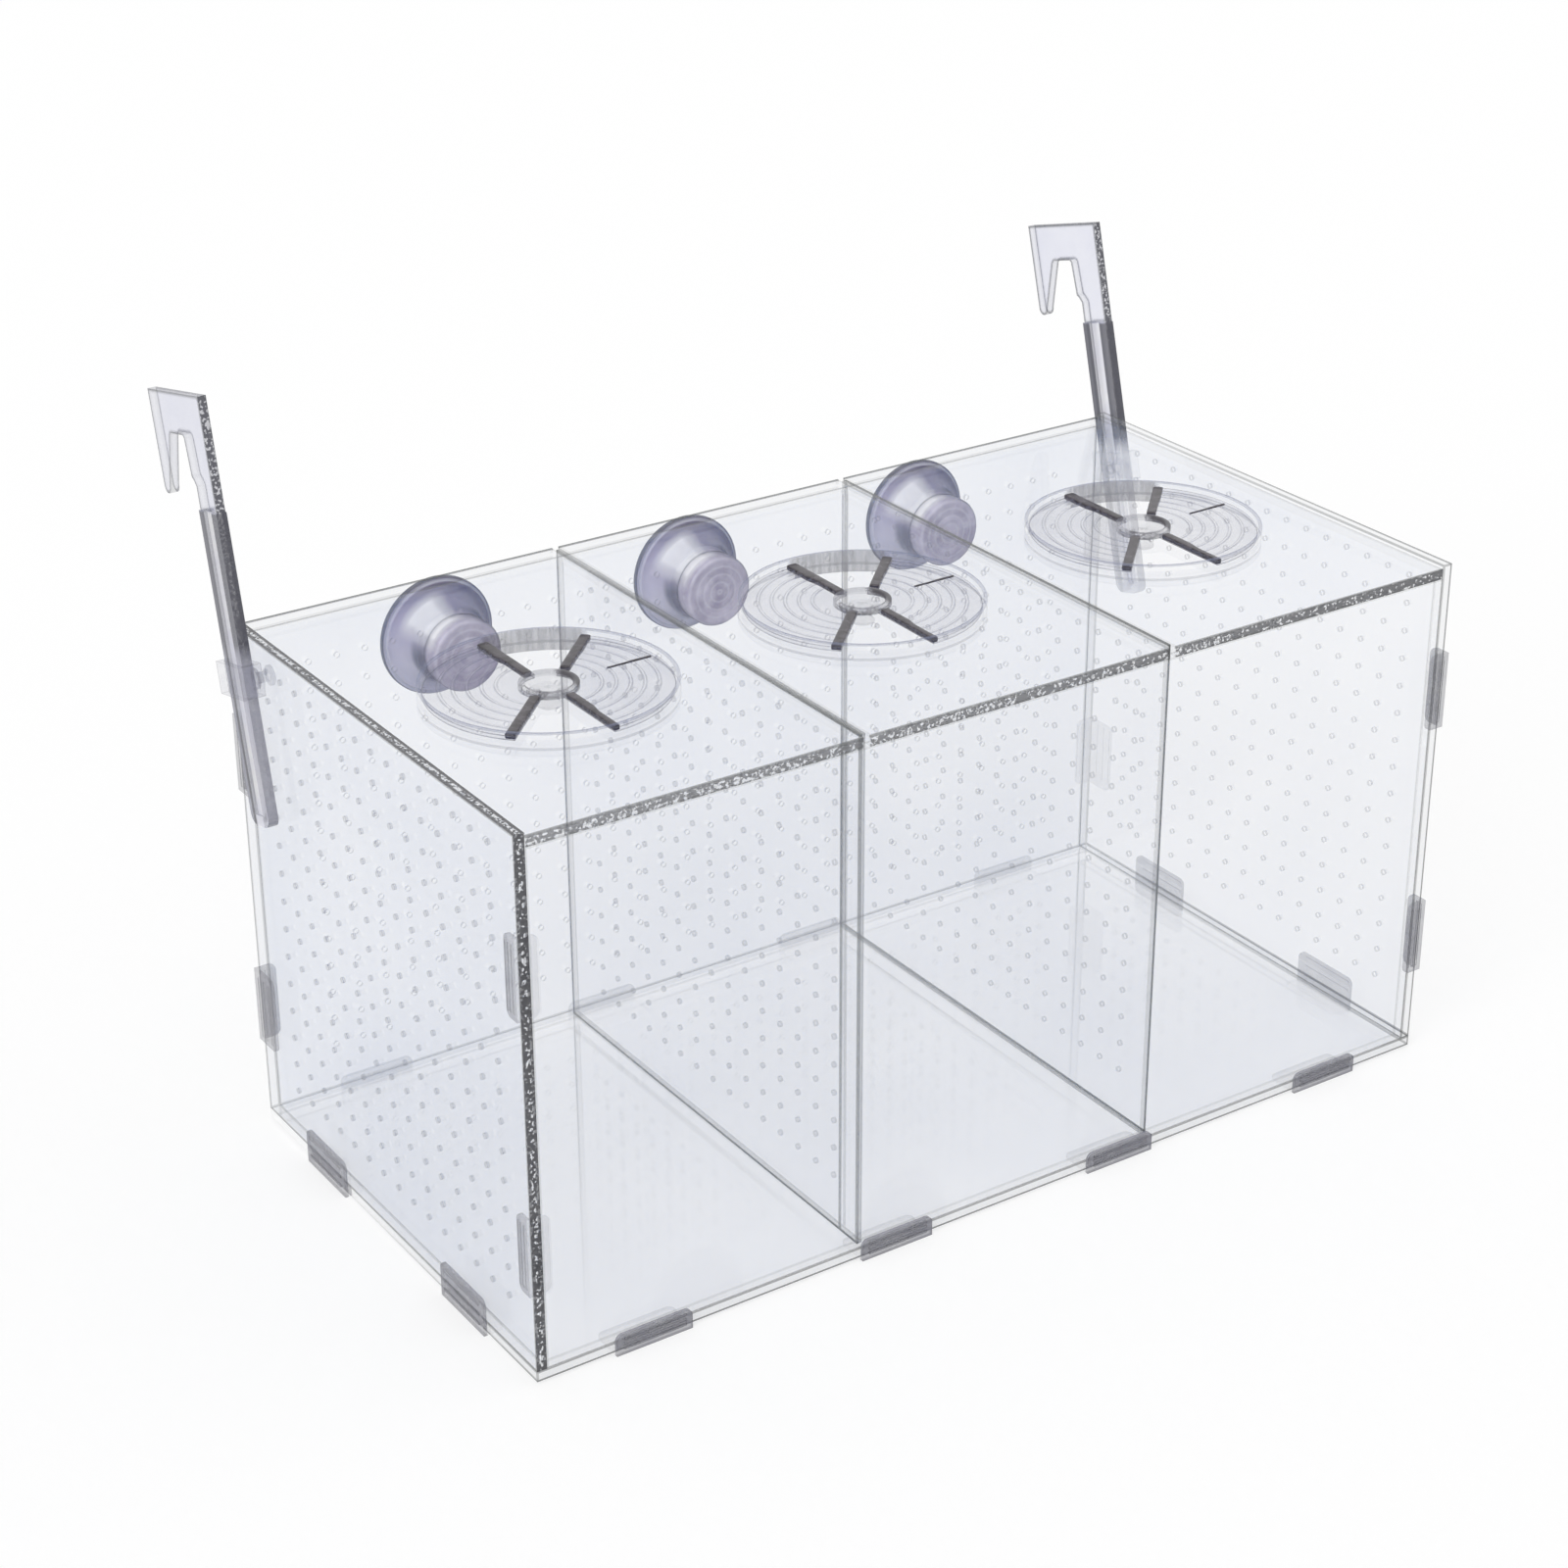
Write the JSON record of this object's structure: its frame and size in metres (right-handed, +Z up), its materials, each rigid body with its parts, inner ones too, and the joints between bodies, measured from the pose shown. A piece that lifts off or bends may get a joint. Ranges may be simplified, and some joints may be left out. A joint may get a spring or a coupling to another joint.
{
  "type": "fish breeding box",
  "caption": "Hang-in fish breeding box: clear acrylic tank with pull-out dividers, vented walls, lids with turning feeding ports, suction cups and rim hooks.",
  "frame": {"origin": "centre of the floor panel's underside", "axes": "+X along the three bays, +Y towards the glass that the box hangs on, +Z up"},
  "size_m": [0.3128, 0.1989, 0.2208],
  "materials": {
    "tank_acrylic": "clear cast acrylic sheet, polished faces, cut edges",
    "divider_acrylic": "thin clear acrylic sheet",
    "lid_acrylic": "clear acrylic sheet, polished",
    "port_plastic": "clear injection-moulded plastic with ridges",
    "cup_vinyl": "soft translucent vinyl, glossy, lilac",
    "hook_plastic": "clear moulded plastic, lilac in its thickness",
    "bracket_plastic": "clear moulded plastic",
    "clip_plastic": "grey translucent moulded plastic, satin"
  },
  "bodies": {
    "tank": {"floor_panel": "tank_acrylic", "front_panel": "tank_acrylic", "back_panel": "tank_acrylic", "left_panel": "tank_acrylic", "right_panel": "tank_acrylic", "suction_cup_left": "cup_vinyl", "suction_cup_middle": "cup_vinyl", "suction_cup_right": "cup_vinyl", "hook_rivet_left": "bracket_plastic", "hook_rivet_right": "bracket_plastic", "clips_bottom_front": "clip_plastic", "clips_bottom_back": "clip_plastic", "clips_bottom_left": "clip_plastic", "clips_bottom_right": "clip_plastic", "clips_front_left": "clip_plastic", "clips_front_right": "clip_plastic", "clips_back_left": "clip_plastic", "clips_back_right": "clip_plastic"},
    "divider_left": {"divider_left": "divider_acrylic"},
    "divider_right": {"divider_right": "divider_acrylic"},
    "lid_left": {"lid_left": "lid_acrylic", "port_seat_left": "port_plastic"},
    "lid_middle": {"lid_middle": "lid_acrylic", "port_seat_middle": "port_plastic"},
    "lid_right": {"lid_right": "lid_acrylic", "port_seat_right": "port_plastic"},
    "shutter_left": {"port_shutter_left": "port_plastic"},
    "shutter_middle": {"port_shutter_middle": "port_plastic"},
    "shutter_right": {"port_shutter_right": "port_plastic"},
    "bracket_left": {"hook_bracket_left": "bracket_plastic"},
    "hook_left": {"hook_left": "hook_plastic"},
    "bracket_right": {"hook_bracket_right": "bracket_plastic"},
    "hook_right": {"hook_right": "hook_plastic"}
  },
  "joints": [
    {"name": "divider_left_pull", "type": "slide", "parent": "tank", "child": "divider_left", "axis": [0, 0, 1], "range_m": [0, 0.155]},
    {"name": "divider_right_pull", "type": "slide", "parent": "tank", "child": "divider_right", "axis": [0, 0, 1], "range_m": [0, 0.155]},
    {"name": "lid_left_lift", "type": "slide", "parent": "tank", "child": "lid_left", "axis": [0, 0, 1], "range_m": [0, 0.1]},
    {"name": "lid_middle_lift", "type": "slide", "parent": "tank", "child": "lid_middle", "axis": [0, 0, 1], "range_m": [0, 0.1]},
    {"name": "lid_right_lift", "type": "slide", "parent": "tank", "child": "lid_right", "axis": [0, 0, 1], "range_m": [0, 0.1]},
    {"name": "shutter_left_turn", "type": "hinge", "parent": "lid_left", "child": "shutter_left", "pos_m": [-0.0985, -0.0047, 0.154], "axis": [0, 0, 1], "continuous": true},
    {"name": "shutter_middle_turn", "type": "hinge", "parent": "lid_middle", "child": "shutter_middle", "pos_m": [0, -0.0047, 0.154], "axis": [0, 0, 1], "continuous": true},
    {"name": "shutter_right_turn", "type": "hinge", "parent": "lid_right", "child": "shutter_right", "pos_m": [0.0985, -0.0047, 0.154], "axis": [0, 0, 1], "continuous": true},
    {"name": "bracket_left_swivel", "type": "hinge", "parent": "tank", "child": "bracket_left", "pos_m": [-0.15, 0.0607, 0.1446], "axis": [1, 0, 0], "range_deg": [-15, 30]},
    {"name": "hook_left_slide", "type": "slide", "parent": "bracket_left", "child": "hook_left", "axis": [0, 0.2079, 0.9781], "range_m": [-0.04, 0.028]},
    {"name": "bracket_right_swivel", "type": "hinge", "parent": "tank", "child": "bracket_right", "pos_m": [0.15, 0.0695, 0.1387], "axis": [1, 0, 0], "range_deg": [-15, 30]},
    {"name": "hook_right_slide", "type": "slide", "parent": "bracket_right", "child": "hook_right", "axis": [0, 0.2588, 0.9659], "range_m": [-0.04, 0.028]}
  ]
}
